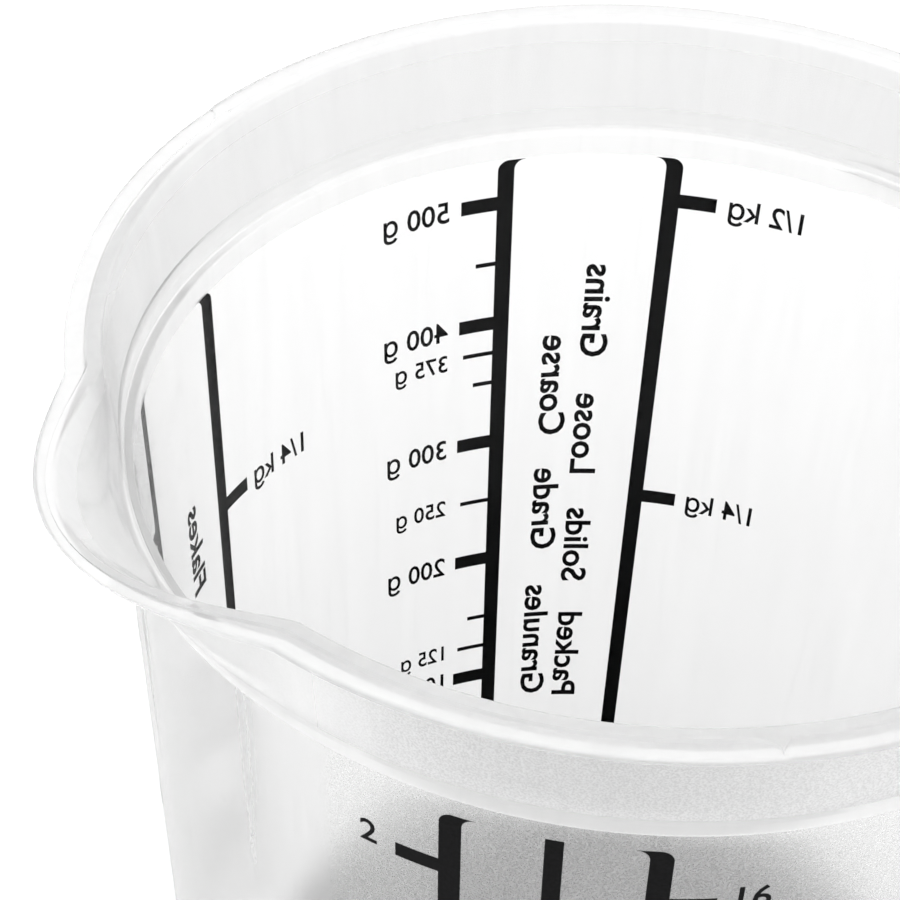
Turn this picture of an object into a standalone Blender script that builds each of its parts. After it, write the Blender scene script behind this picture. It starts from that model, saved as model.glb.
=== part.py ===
"""Half-litre measuring cup: one translucent moulding that carries printed scales.

The cup stands on its base with its axis along +Z and the origin at the base centre.
The handle points along +X and the pouring spout along -X. Sizes are in metres and degrees.
"""
import math

import bmesh
import bpy

# Cup body
HEIGHT = 0.1085
RIM_RADIUS = 0.0530
WALL = 0.0015
WALL_SLOPE = 0.0659
FLOOR = 0.0026
FLOOR_FILLET = 0.0030
BASE_FILLET = 0.0034

# Rim flange, with a shallow ledge along its outer half on the spout's side
RIM_WIDTH = 0.0034
LIP_THICKNESS = 0.0011
LIP_OVERHANG = 0.0018
RIM_ROUNDING = 0.0004
LEDGE_WIDTH = 0.0018
LEDGE_DROP = 0.00025
LEDGE_GROOVE = 0.00008
LEDGE_HALF_ANGLE = 67.5
LEDGE_END_ANGLE = 3.0

# Collar below the flange, wider than the body by a small step
COLLAR_DEPTH = 0.0124
COLLAR_TAPER = 0.0015
COLLAR_STEP = 0.0008
STEP_BLEND = 0.0003
STEP_OFFSET = 0.0005
BEAD_HEIGHT = 0.0023
BEAD_PROUD = 0.0003
BEAD_EDGE = 0.0005

# Pouring spout
SPOUT_REACH = 0.0066
SPOUT_HALF_ANGLE = 21.6
SPOUT_FULLNESS = 0.62
SPOUT_RIM_NARROWING = 0.0015
SPOUT_HOLLOW = 1.25

# Panel behind the handle, where the wall stays flush with the collar
PANEL_TOP_HALF_ANGLE = 31.0
PANEL_END_HALF_ANGLE = 12.0
PANEL_EDGE_ANGLE = 5.0
PANEL_LENGTH = 0.0800
PANEL_FADE = 0.0090

# Handle: a channel section that hangs from the rim, open towards the cup
HANDLE_REACH = 0.0290
HANDLE_LENGTH = 0.0760
HANDLE_WIDTH_TOP = 0.0220
HANDLE_WIDTH_END = 0.0165
HANDLE_CORNER = 0.0130
HANDLE_LEAN = 4.0
HANDLE_FLICK = 22.0
HANDLE_FLICK_RADIUS = 0.0180
HANDLE_STRAP = 0.0020
HANDLE_RIB_DEPTH = 0.0075
HANDLE_RIB = 0.0018
HANDLE_RIB_FADE = 0.0260
HANDLE_END_DEPTH = 0.0026
HANDLE_EDGE = 0.0010
HANDLE_ROOT_FLARE = 0.0060
HANDLE_ROOT_LENGTH = 0.0120
HANDLE_SET_DOWN = 0.0001

# Printed scales on the outside of the wall (the lean is in degrees, from a bar's middle to its end)
INK_GAP = 0.0003
INK_THICKNESS = 0.0002
SCALE_BELOW_RIM = 0.0158
SCALE_FOOT = 0.0080
BAR_WIDTH = 0.0017
WIDE_BAR_WIDTH = 0.0019
CENTRE_BAR_WIDTH = 0.0015
HOOK_LENGTH = 0.0011
HOOK_DEPTH = 0.0012
MAIN_TICK_LENGTH = 0.0038
MAIN_TICK_HEIGHT = 0.0017
MIDDLE_TICK_LENGTH = 0.0033
SHORT_TICK_LENGTH = 0.0021
THIN_TICK_HEIGHT = 0.0005
SUGAR_PANEL_ANGLE = 64.0
FLOUR_PANEL_ANGLE = 132.4
LIQUID_PANEL_ANGLE = -131.6
DRY_BAR_SPREAD = 10.25
LIQUID_BAR_SPREAD = 10.5
KILOGRAM_BAR_LEAN = 0.87

# What one printed unit fills: grams per millilitre, and millilitres per cup or ounce
SUGAR_DENSITY = 0.97
FLOUR_DENSITY = 0.68
CUP_VOLUME = 251.2
OUNCE_VOLUME = 31.4
MILLILITRE = 1e-6

# Mesh fineness
TURN_STEPS = 96
WALL_ROWS = 8
ARC_STEPS = 4
EDGE_STEPS = 2
HANDLE_TOP_STEPS = 6
HANDLE_CORNER_STEPS = 8
HANDLE_DROP_STEPS = 10
HANDLE_FLICK_STEPS = 4
SHARP_ANGLE = 30.0
MERGE_DISTANCE = 0.00001


def clear_scene():
    """Remove what the open file holds, so that the model stands alone."""
    for old in list(bpy.data.objects):
        bpy.data.objects.remove(old, do_unlink=True)


def new_collection(name):
    """Make a collection and link it to the scene."""
    made = bpy.data.collections.new(name)
    bpy.context.scene.collection.children.link(made)
    return made


def principled(name, color, roughness, alpha=1.0):
    """A plain material with the colour and gloss of one finish."""
    mat = bpy.data.materials.new(name)
    mat.use_nodes = True
    shader = mat.node_tree.nodes["Principled BSDF"]
    shader.inputs["Base Color"].default_value = (*color, 1.0)
    shader.inputs["Roughness"].default_value = roughness
    shader.inputs["Metallic"].default_value = 0.0
    shader.inputs["Alpha"].default_value = alpha
    mat.diffuse_color = (*color, alpha)
    return mat


def held(value):
    """Keep a share between 0 and 1."""
    return min(max(value, 0.0), 1.0)


def smooth_step(value):
    """Ease from 0 to 1 with level ends."""
    share = held(value)
    return share * share * (3.0 - 2.0 * share)


def arc(centre_r, centre_z, radius, start, end, steps):
    """Points of a round stretch of a profile, angles in degrees."""
    points = []
    for step in range(steps + 1):
        angle = math.radians(start + (end - start) * step / steps)
        points.append((centre_r + radius * math.cos(angle), centre_z + radius * math.sin(angle)))
    return points


def shoulder_height():
    """Height of the small step between the body and the collar."""
    return HEIGHT - COLLAR_DEPTH


def body_radius(height):
    """Outer radius of the conical wall at a height above the base."""
    collar_inside = RIM_RADIUS - RIM_WIDTH - COLLAR_TAPER
    outside_at_shoulder = collar_inside - COLLAR_STEP + WALL
    return outside_at_shoulder - WALL_SLOPE * (shoulder_height() - height)


def rim_profile():
    """The flange: its inner edge, the ledge and the outer edge down to the lip's underside."""
    inner = RIM_RADIUS - RIM_WIDTH + RIM_ROUNDING
    ledge = RIM_RADIUS - LEDGE_WIDTH
    outer = RIM_RADIUS - RIM_ROUNDING
    band = HEIGHT - LEDGE_DROP
    points = arc(inner, HEIGHT - RIM_ROUNDING, RIM_ROUNDING, 180, 90, EDGE_STEPS)
    points += [(ledge - LEDGE_DROP, HEIGHT), (ledge, band)]
    points += arc(outer, band - RIM_ROUNDING, RIM_ROUNDING, 90, 0, EDGE_STEPS)
    points.append((RIM_RADIUS, HEIGHT - LIP_THICKNESS))
    return points


def bead_profile():
    """Outside of the collar: its tapered face, and the bead that ends it at the shoulder."""
    top = HEIGHT - LIP_THICKNESS
    face = RIM_RADIUS - LIP_OVERHANG
    bottom = shoulder_height() - STEP_OFFSET
    bead_top = bottom + BEAD_HEIGHT
    bead = face - COLLAR_TAPER + BEAD_PROUD
    points = [(face, top)]
    for height in ((top + bead_top) / 2, bead_top):
        points.append((face - COLLAR_TAPER * (HEIGHT - height) / COLLAR_DEPTH, height))
    points += [(bead, bead_top - BEAD_EDGE), (bead, bottom + BEAD_EDGE)]
    points += [(bead - BEAD_PROUD, bottom), (body_radius(bottom), bottom - STEP_BLEND)]
    return points


def turned_profile():
    """Half section of the cup: up the inside, over the rim and down the outside."""
    shoulder = shoulder_height()
    collar = RIM_RADIUS - RIM_WIDTH
    wall_start = FLOOR + FLOOR_FILLET
    floor_edge = body_radius(FLOOR) - WALL
    points = [(0.0, FLOOR)]
    points += arc(floor_edge - FLOOR_FILLET, wall_start, FLOOR_FILLET, -90, 0, ARC_STEPS)
    for row in range(1, WALL_ROWS + 1):
        height = wall_start + (shoulder - wall_start) * row / WALL_ROWS
        points.append((body_radius(height) - WALL, height))
    points.append((collar - COLLAR_TAPER, shoulder + STEP_BLEND))
    points.append((collar - COLLAR_TAPER / 2, (shoulder + HEIGHT) / 2))

    points += rim_profile()
    points += bead_profile()

    wall_head = points[-1][1]
    for row in range(1, WALL_ROWS):
        height = wall_head + (BASE_FILLET - wall_head) * row / WALL_ROWS
        points.append((body_radius(height), height))
    points += arc(body_radius(0.0) - BASE_FILLET, BASE_FILLET, BASE_FILLET, 0, -90, ARC_STEPS)
    points.append((0.0, 0.0))
    return points


def spout_share(angle):
    """How much of the spout's reach the rim has at an angle from the spout's middle."""
    turn = abs(angle) / SPOUT_HALF_ANGLE
    if turn >= 1.0:
        return 0.0
    return math.cos(turn * math.pi / 2) ** (2 * SPOUT_FULLNESS)


def panel_share(angle, height):
    """How much of the collar's step the wall keeps behind the handle."""
    down = (shoulder_height() - height) / PANEL_LENGTH
    half = PANEL_TOP_HALF_ANGLE + (PANEL_END_HALF_ANGLE - PANEL_TOP_HALF_ANGLE) * held(down)
    sideways = smooth_step((half + PANEL_EDGE_ANGLE / 2 - abs(angle)) / PANEL_EDGE_ANGLE)
    below = smooth_step((1.0 - down) * PANEL_LENGTH / PANEL_FADE)
    return sideways * below


def ledge_fill(from_spout, radius, height):
    """How far the rim's outer band rises again beyond the ends of the ledge."""
    on_band = radius > RIM_RADIUS - LEDGE_WIDTH - LEDGE_DROP / 2
    if not on_band or not HEIGHT - LIP_THICKNESS < height < HEIGHT:
        return 0.0
    past_end = (from_spout - LEDGE_HALF_ANGLE) / LEDGE_END_ANGLE
    return (LEDGE_DROP - LEDGE_GROOVE) * smooth_step(past_end)


def shaped(x, y, z):
    """Move one point of the turned wall to where the spout, the ledge and the panel put it."""
    radius = math.hypot(x, y)
    turn = math.atan2(y, x)
    angle = math.degrees(turn)
    from_spout = 180.0 - abs(angle)
    shoulder = shoulder_height()
    if z > shoulder:
        climb = ((z - shoulder) / (HEIGHT - shoulder)) ** SPOUT_HOLLOW
        inward = held((RIM_RADIUS - radius) / RIM_WIDTH)
        reach = SPOUT_REACH + SPOUT_RIM_NARROWING * inward
        outward = spout_share(from_spout) * climb * reach
    else:
        outward = COLLAR_STEP * panel_share(angle, z)
    raised = z + ledge_fill(from_spout, radius, z)
    return x + outward * math.cos(turn), y + outward * math.sin(turn), raised


def turned_body(name, home):
    """Revolve the profile, then press the spout out and set the panel back."""
    line = bpy.data.meshes.new(name + "_profile")
    points = turned_profile()
    edges = [(i, i + 1) for i in range(len(points) - 1)]
    line.from_pydata([(r, 0.0, z) for r, z in points], edges, [])
    blank = bpy.data.objects.new(name + "_blank", line)
    home.objects.link(blank)
    screw = blank.modifiers.new("turn", "SCREW")
    screw.axis = "Z"
    screw.steps = TURN_STEPS
    screw.render_steps = TURN_STEPS
    screw.use_merge_vertices = True
    screw.merge_threshold = MERGE_DISTANCE
    bpy.context.view_layer.update()
    evaluated = blank.evaluated_get(bpy.context.evaluated_depsgraph_get())
    mesh = bpy.data.meshes.new_from_object(evaluated)
    mesh.name = name
    bpy.data.objects.remove(blank, do_unlink=True)
    for vertex in mesh.vertices:
        vertex.co = shaped(*vertex.co)
    made = bpy.data.objects.new(name, mesh)
    home.objects.link(made)
    return made


def straight_run(start, end, angle, steps):
    """Stations from one place up to, but not including, another, with one outward normal."""
    stations = []
    for step in range(steps):
        share = step / steps
        x = start[0] + (end[0] - start[0]) * share
        z = start[1] + (end[1] - start[1]) * share
        stations.append((x, z, angle))
    return stations


def bend(centre_x, centre_z, radius, start, end, steps):
    """Stations round a bend. A negative radius bends towards the outward normal."""
    stations = []
    for step in range(steps + 1):
        angle = start + (end - start) * step / steps
        turn = math.radians(angle)
        stations.append((centre_x + radius * math.cos(turn), centre_z + radius * math.sin(turn), angle))
    return stations


def handle_route():
    """Stations along the handle's outer face: place and the direction of its outward normal."""
    top = HEIGHT - LEDGE_DROP - HANDLE_SET_DOWN
    root_x = RIM_RADIUS - LIP_OVERHANG - HANDLE_RIB_DEPTH
    corner_x = RIM_RADIUS + HANDLE_REACH - HANDLE_CORNER
    lean = math.radians(HANDLE_LEAN)
    flick = math.radians(HANDLE_FLICK)

    corner = bend(corner_x, top - HANDLE_CORNER, HANDLE_CORNER, 90.0, -HANDLE_LEAN, HANDLE_CORNER_STEPS)
    straight_x, straight_z, angle = corner[-1]
    flick_drop = HANDLE_FLICK_RADIUS * (math.sin(flick - lean) + math.sin(lean))
    flick_z = top - HANDLE_LENGTH + flick_drop
    flick_x = straight_x - math.tan(lean) * (straight_z - flick_z)
    centre_x = flick_x + HANDLE_FLICK_RADIUS * math.cos(lean)
    centre_z = flick_z - HANDLE_FLICK_RADIUS * math.sin(lean)

    stations = straight_run((root_x, top), (corner_x, top), 90.0, HANDLE_TOP_STEPS)
    stations += corner[:-1]
    stations += straight_run((straight_x, straight_z), (flick_x, flick_z), angle, HANDLE_DROP_STEPS)
    stations += bend(centre_x, centre_z, -HANDLE_FLICK_RADIUS, angle, angle + HANDLE_FLICK,
                     HANDLE_FLICK_STEPS)
    return stations


def handle_section(half_width, rib_depth):
    """Channel section across the handle: sideways and height above the outer face."""
    inner = half_width - HANDLE_RIB
    edge = half_width - HANDLE_EDGE
    section = arc(-edge, -HANDLE_EDGE, HANDLE_EDGE, 180, 90, EDGE_STEPS)
    section += arc(edge, -HANDLE_EDGE, HANDLE_EDGE, 90, 0, EDGE_STEPS)
    section += [(half_width, -rib_depth), (inner, -rib_depth), (inner, -HANDLE_STRAP)]
    section += [(-inner, -HANDLE_STRAP), (-inner, -rib_depth), (-half_width, -rib_depth)]
    return section


def handle_blank(name, home):
    """Loft the channel section along the handle's route."""
    route = handle_route()
    travelled = [0.0]
    for here, there in zip(route, route[1:]):
        travelled.append(travelled[-1] + math.dist(here[:2], there[:2]))
    total = travelled[-1]
    inside_rim = RIM_RADIUS - route[0][0]
    rows = bmesh.new()
    rings = []
    for (x, z, angle), along in zip(route, travelled):
        half = (HANDLE_WIDTH_TOP + (HANDLE_WIDTH_END - HANDLE_WIDTH_TOP) * along / total) / 2
        flare = HANDLE_ROOT_FLARE * (1.0 - held((along - inside_rim) / HANDLE_ROOT_LENGTH)) ** 2
        full = smooth_step((total - along) / HANDLE_RIB_FADE)
        depth = HANDLE_END_DEPTH + (HANDLE_RIB_DEPTH - HANDLE_END_DEPTH) * full
        turn = math.radians(angle)
        ring = []
        for sideways, out in handle_section(half + flare, depth):
            ring.append(rows.verts.new((x + out * math.cos(turn), sideways, z + out * math.sin(turn))))
        rings.append(ring)
    count = len(rings[0])
    for ring, following in zip(rings, rings[1:]):
        for i in range(count):
            j = (i + 1) % count
            rows.faces.new((ring[i], ring[j], following[j], following[i]))
    rows.faces.new(tuple(reversed(rings[0])))
    rows.faces.new(tuple(rings[-1]))
    bmesh.ops.recalc_face_normals(rows, faces=rows.faces)
    mesh = bpy.data.meshes.new(name)
    rows.to_mesh(mesh)
    rows.free()
    made = bpy.data.objects.new(name, mesh)
    home.objects.link(made)
    return made


def guide(obj):
    """Mark an object that only shapes another."""
    obj.hide_render = True
    obj.display_type = "WIRE"
    return obj


def bore_cutter(name, home):
    """A conical plug that trims the handle's root to the middle of the collar's wall."""
    middle = RIM_RADIUS - (RIM_WIDTH + LIP_OVERHANG) / 2
    body = bmesh.new()
    bmesh.ops.create_cone(body, cap_ends=True, segments=TURN_STEPS, radius1=middle - COLLAR_TAPER,
                          radius2=middle + COLLAR_TAPER, depth=2 * COLLAR_DEPTH)
    bmesh.ops.translate(body, verts=body.verts, vec=(0.0, 0.0, HEIGHT))
    mesh = bpy.data.meshes.new(name)
    body.to_mesh(mesh)
    body.free()
    made = bpy.data.objects.new(name, mesh)
    home.objects.link(made)
    return guide(made)


def combine(obj, name, operation, other):
    """Add one Boolean to an object."""
    step = obj.modifiers.new(name, "BOOLEAN")
    step.operation = operation
    step.solver = "EXACT"
    step.object = other


def make_cup(parts, cutters, material):
    """The moulding: turned body with spout and panel, and the handle run into its collar."""
    handle = guide(handle_blank("handle_form", cutters))
    combine(handle, "trim_root", "DIFFERENCE", bore_cutter("bore_form", cutters))
    cup = turned_body("cup", parts)
    combine(cup, "join_handle", "UNION", handle)
    cup.data.materials.append(material)
    cup.data.shade_smooth()
    cup.data.set_sharp_from_angle(angle=math.radians(SHARP_ANGLE))
    return cup


def filling_height(volume):
    """Height of the liquid's surface for a volume in millilitres."""
    floor_radius = body_radius(FLOOR) - WALL
    cube = floor_radius ** 3 + 3 * WALL_SLOPE * volume * MILLILITRE / math.pi
    return FLOOR + (cube ** (1 / 3) - floor_radius) / WALL_SLOPE


def scale_outline(width, ticks, hooked):
    """Flat outline of one printed bar: ticks point to +X, the hook points to -X."""
    top = HEIGHT - SCALE_BELOW_RIM
    half = width / 2
    outline = [(-half, SCALE_FOOT), (half, SCALE_FOOT)]
    for height, length, thickness in sorted(ticks):
        low = height - thickness / 2
        high = height + thickness / 2
        if SCALE_FOOT < low and high < top - HOOK_DEPTH:
            outline += [(half, low), (half + length, low), (half + length, high), (half, high)]
    if hooked:
        outline += arc(half - HOOK_DEPTH, top - HOOK_DEPTH, HOOK_DEPTH, 0, 90, ARC_STEPS)
        for step in range(ARC_STEPS):
            turn = math.radians(90.0 - 90.0 * step / ARC_STEPS)
            outline.append((-half - HOOK_LENGTH * (1.0 - math.cos(turn)),
                            top - HOOK_DEPTH * (1.0 - math.sin(turn))))
        outline.append((-half, top - HOOK_DEPTH))
    else:
        outline += [(half, top), (-half, top)]
    return outline


def wrap_print(name, outline, angle, lean, mirror, parts, material):
    """Fill a flat outline, give it the ink's thickness and lay it round the wall."""
    curve = bpy.data.curves.new(name + "_outline", "CURVE")
    curve.dimensions = "2D"
    curve.fill_mode = "BOTH"
    curve.extrude = INK_THICKNESS / 2
    line = curve.splines.new("POLY")
    line.points.add(len(outline) - 1)
    for point, (x, y) in zip(line.points, outline):
        point.co = (x, y, 0.0, 1.0)
    line.use_cyclic_u = True
    flat = bpy.data.objects.new(name + "_flat", curve)
    parts.objects.link(flat)
    bpy.context.view_layer.update()
    mesh = bpy.data.meshes.new_from_object(flat.evaluated_get(bpy.context.evaluated_depsgraph_get()))
    bpy.data.objects.remove(flat, do_unlink=True)
    bpy.data.curves.remove(curve)

    work = bmesh.new()
    work.from_mesh(mesh)
    bmesh.ops.remove_doubles(work, verts=work.verts, dist=MERGE_DISTANCE)
    middle = (HEIGHT - SCALE_BELOW_RIM + SCALE_FOOT) / 2
    around = body_radius(middle)
    for vertex in work.verts:
        across, height, depth = vertex.co
        climb = (height - middle) / (middle - SCALE_FOOT)
        turn = math.radians(angle - lean * climb) + (-across if mirror else across) / around
        radius = body_radius(height) + INK_GAP + INK_THICKNESS / 2 + depth
        vertex.co = (radius * math.cos(turn), radius * math.sin(turn), height)
    bmesh.ops.recalc_face_normals(work, faces=work.faces)
    work.to_mesh(mesh)
    work.free()
    mesh.name = name
    made = bpy.data.objects.new(name, mesh)
    made.data.materials.clear()
    made.data.materials.append(material)
    parts.objects.link(made)
    return made


def weight_ticks(density, main, middle, short):
    """Ticks of a weight scale in grams."""
    ticks = []
    for grams in main:
        ticks.append((filling_height(grams / density), MAIN_TICK_LENGTH, MAIN_TICK_HEIGHT))
    for grams in middle:
        ticks.append((filling_height(grams / density), MIDDLE_TICK_LENGTH, THIN_TICK_HEIGHT))
    for grams in short:
        ticks.append((filling_height(grams / density), SHORT_TICK_LENGTH, THIN_TICK_HEIGHT))
    return ticks


def volume_ticks(unit, main, short):
    """Ticks of a volume scale, in multiples of one unit."""
    ticks = [(filling_height(unit * count), MAIN_TICK_LENGTH, MAIN_TICK_HEIGHT) for count in main]
    ticks += [(filling_height(unit * count), SHORT_TICK_LENGTH, THIN_TICK_HEIGHT) for count in short]
    return ticks


def make_scales(parts, material):
    """One thin printed piece for each scale bar on the wall."""
    sugar_grams = weight_ticks(SUGAR_DENSITY, (500, 400, 300, 200, 100), (375, 250, 125), (450, 350, 150))
    sugar_kilos = weight_ticks(SUGAR_DENSITY, (500, 250), (), ())
    flour_kilos = weight_ticks(FLOUR_DENSITY, (250,), (), ())
    flour_grams = weight_ticks(FLOUR_DENSITY, (300, 200, 100), (125,), (250, 150, 50))
    cups = volume_ticks(CUP_VOLUME / 4, (8, 4), (7, 6, 5, 3, 2, 1))
    ounces = volume_ticks(OUNCE_VOLUME, (16, 12, 8, 4), (14, 10, 6, 2))

    sugar = SUGAR_PANEL_ANGLE
    flour = FLOUR_PANEL_ANGLE
    liquid = LIQUID_PANEL_ANGLE
    lean = KILOGRAM_BAR_LEAN
    bars = (
        ("sugar_scale_grams", sugar + DRY_BAR_SPREAD, 0.0, False, BAR_WIDTH, sugar_grams, True),
        ("sugar_scale_kilograms", sugar - DRY_BAR_SPREAD, lean, True, BAR_WIDTH, sugar_kilos, True),
        ("flour_scale_grams", flour + DRY_BAR_SPREAD, 0.0, False, BAR_WIDTH, flour_grams, True),
        ("flour_scale_kilograms", flour - DRY_BAR_SPREAD, lean, True, BAR_WIDTH, flour_kilos, True),
        ("liquid_scale_cups", liquid - LIQUID_BAR_SPREAD, 0.0, True, WIDE_BAR_WIDTH, cups, True),
        ("liquid_scale_ounces", liquid + LIQUID_BAR_SPREAD, 0.0, False, WIDE_BAR_WIDTH, ounces, True),
        ("liquid_centre_bar", liquid, 0.0, False, CENTRE_BAR_WIDTH, [], False),
    )
    for name, angle, tip, mirror, width, ticks, hooked in bars:
        wrap_print(name, scale_outline(width, ticks, hooked), angle, tip, mirror, parts, material)


clear_scene()
part_home = new_collection("measuring_cup")
cutter_home = new_collection("measuring_cup_forms")
polypropylene = principled("natural_polypropylene", (0.86, 0.87, 0.87), 0.38, 0.55)
ink = principled("black_screen_ink", (0.012, 0.012, 0.013), 0.42)
make_cup(part_home, cutter_home, polypropylene)
make_scales(part_home, ink)
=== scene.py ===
import math

import bmesh
import bpy
from mathutils import Matrix, Vector


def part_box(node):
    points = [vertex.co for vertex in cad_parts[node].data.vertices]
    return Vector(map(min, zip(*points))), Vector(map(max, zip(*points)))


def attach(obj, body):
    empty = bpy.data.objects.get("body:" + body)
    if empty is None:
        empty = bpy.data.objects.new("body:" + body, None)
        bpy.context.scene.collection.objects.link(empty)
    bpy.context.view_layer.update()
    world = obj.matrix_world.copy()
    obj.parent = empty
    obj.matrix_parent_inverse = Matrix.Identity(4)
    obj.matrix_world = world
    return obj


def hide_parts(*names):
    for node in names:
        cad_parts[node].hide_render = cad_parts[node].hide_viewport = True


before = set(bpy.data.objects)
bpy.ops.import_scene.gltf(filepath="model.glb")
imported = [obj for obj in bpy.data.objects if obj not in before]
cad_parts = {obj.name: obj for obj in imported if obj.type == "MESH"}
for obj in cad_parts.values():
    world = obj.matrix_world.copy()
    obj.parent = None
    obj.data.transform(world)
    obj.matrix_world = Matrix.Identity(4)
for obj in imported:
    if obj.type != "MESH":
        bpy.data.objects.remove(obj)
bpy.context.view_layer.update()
cup_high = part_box("cup")[1]


# The cup's body is turned: a conical wall, a collar that is wider by a small step, and a
# flange with a shallow ledge. The spout is pressed out of the rim, and behind the handle the
# wall stays flush with the collar. It is one injection moulding in natural polypropylene.
HEIGHT = cup_high.z
RIM_RADIUS = cup_high.y
WALL = 0.0015
WALL_SLOPE = 0.0659
FLOOR = 0.0026
FLOOR_FILLET = 0.0030
BASE_FILLET = 0.0034
RIM_WIDTH = 0.0034
RIM_INNER_EDGE = 0.0004
RIM_OUTER_EDGE = 0.00028
LIP_THICKNESS = 0.0011
LIP_OVERHANG = 0.0018
LIP_FILLET = 0.0003
LEDGE_WIDTH = 0.0018
LEDGE_DROP = 0.00025
LEDGE_ROUNDING = 0.0001
LEDGE_GROOVE = 0.00005
LEDGE_HALF_ANGLE = 67.5
LEDGE_END_LENGTH = 0.0023
LEDGE_END_STEPS = 24
COLLAR_DEPTH = 0.0124
COLLAR_TAPER = 0.0015
COLLAR_STEP = 0.0008
STEP_BLEND = 0.0003
STEP_OFFSET = 0.0005
STEP_ROUNDING = 0.00035
BEAD_HEIGHT = 0.0023
BEAD_PROUD = 0.0003
BEAD_ROUNDING = 0.0005
SPOUT_REACH = 0.0066
SPOUT_HALF_ANGLE = 21.6
SPOUT_FULLNESS = 0.62
SPOUT_RIM_NARROWING = 0.0015
SPOUT_HOLLOW = 1.25
PANEL_TOP_HALF_ANGLE = 31.0
PANEL_END_HALF_ANGLE = 12.0
PANEL_EDGE_ANGLE = 5.0
PANEL_LENGTH = 0.0800
PANEL_FADE = 0.0090
TURN_STEPS = 384
ROUNDING_STEPS = 4
ROW_LENGTH = 0.0022

collar_inside = RIM_RADIUS - RIM_WIDTH
collar_outside = RIM_RADIUS - LIP_OVERHANG
ledge_line = RIM_RADIUS - LEDGE_WIDTH
shoulder = HEIGHT - COLLAR_DEPTH


def held(value):
    """Keep a share between 0 and 1."""
    return min(max(value, 0.0), 1.0)


def smooth_step(value):
    """Ease from 0 to 1 with level ends."""
    share = held(value)
    return share * share * (3.0 - 2.0 * share)


def body_radius(height):
    """Outer radius of the conical wall at a height above the base."""
    outside_at_shoulder = collar_inside - COLLAR_TAPER - COLLAR_STEP + WALL
    return outside_at_shoulder - WALL_SLOPE * (shoulder - height)


def rounded_path(corners, steps):
    """Follow a line of corners, each a radius, a height and a fillet, and round the corners."""
    path = [Vector(corners[0][:2])]
    for before, here, after in zip(corners, corners[1:], corners[2:]):
        corner = Vector(here[:2])
        inward = (Vector(before[:2]) - corner).normalized()
        onward = (Vector(after[:2]) - corner).normalized()
        half = inward.angle(onward) / 2
        reach = here[2] / math.tan(half)
        centre = corner + (inward + onward).normalized() * here[2] / math.sin(half)
        start = corner + inward * reach - centre
        sweep = (corner + onward * reach - centre).angle_signed(start)
        for step in range(steps + 1):
            path.append(centre + Matrix.Rotation(sweep * step / steps, 2) @ start)
    path.append(Vector(corners[-1][:2]))
    return path


def subdivided(path, longest):
    """Split the long straight stretches of a path."""
    points = [path[0]]
    for here, there in zip(path, path[1:]):
        pieces = max(1, math.ceil((there - here).length / longest))
        points += [here.lerp(there, piece / pieces) for piece in range(1, pieces + 1)]
    return points


def cup_profile():
    """Half section: up the inside, over the flange and down the outside."""
    floor_edge = body_radius(FLOOR) - WALL
    lip_bottom = HEIGHT - LIP_THICKNESS
    bead_foot = shoulder - STEP_OFFSET
    bead_head = bead_foot + BEAD_HEIGHT
    bead = collar_outside - COLLAR_TAPER + BEAD_PROUD
    collar_at_bead = collar_outside - COLLAR_TAPER * (HEIGHT - bead_head) / COLLAR_DEPTH
    corners = [
        (0.0, FLOOR, 0.0),
        (floor_edge, FLOOR, FLOOR_FILLET),
        (body_radius(shoulder) - WALL, shoulder, STEP_ROUNDING),
        (collar_inside - COLLAR_TAPER, shoulder + STEP_BLEND, STEP_ROUNDING),
        (collar_inside, HEIGHT, RIM_INNER_EDGE),
        (ledge_line - LEDGE_DROP, HEIGHT, LEDGE_ROUNDING),
        (ledge_line, HEIGHT - LEDGE_DROP, LEDGE_ROUNDING),
        (RIM_RADIUS, HEIGHT - LEDGE_DROP, RIM_OUTER_EDGE),
        (RIM_RADIUS, lip_bottom, RIM_OUTER_EDGE),
        (collar_outside, lip_bottom, LIP_FILLET),
        (collar_at_bead, bead_head, BEAD_ROUNDING),
        (bead, bead_head - BEAD_ROUNDING, BEAD_ROUNDING),
        (bead, bead_foot + BEAD_ROUNDING, BEAD_ROUNDING),
        (body_radius(bead_foot), bead_foot - STEP_BLEND, STEP_ROUNDING),
        (body_radius(0.0), 0.0, BASE_FILLET),
        (0.0, 0.0, 0.0),
    ]
    return subdivided(rounded_path(corners, ROUNDING_STEPS), ROW_LENGTH)


def spout_share(angle):
    """How much of the spout's reach the rim has at an angle from the spout's middle."""
    turn = abs(angle) / SPOUT_HALF_ANGLE
    if turn >= 1.0:
        return 0.0
    return math.cos(turn * math.pi / 2) ** (2 * SPOUT_FULLNESS)


def panel_share(angle, height):
    """How much of the collar's step the wall keeps behind the handle."""
    down = (shoulder - height) / PANEL_LENGTH
    half = PANEL_TOP_HALF_ANGLE + (PANEL_END_HALF_ANGLE - PANEL_TOP_HALF_ANGLE) * held(down)
    sideways = smooth_step((half + PANEL_EDGE_ANGLE / 2 - abs(angle)) / PANEL_EDGE_ANGLE)
    below = smooth_step((1.0 - down) * PANEL_LENGTH / PANEL_FADE)
    return sideways * below


def pushed_out(turn, radius, height):
    """How far the spout or the panel pushes a point of the turned wall outwards."""
    angle = math.degrees(turn)
    if height <= shoulder:
        return COLLAR_STEP * panel_share(angle, height)
    climb = ((height - shoulder) / (HEIGHT - shoulder)) ** SPOUT_HOLLOW
    inward = held((RIM_RADIUS - radius) / RIM_WIDTH)
    reach = SPOUT_REACH + SPOUT_RIM_NARROWING * inward
    return spout_share(180.0 - abs(angle)) * climb * reach


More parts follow.
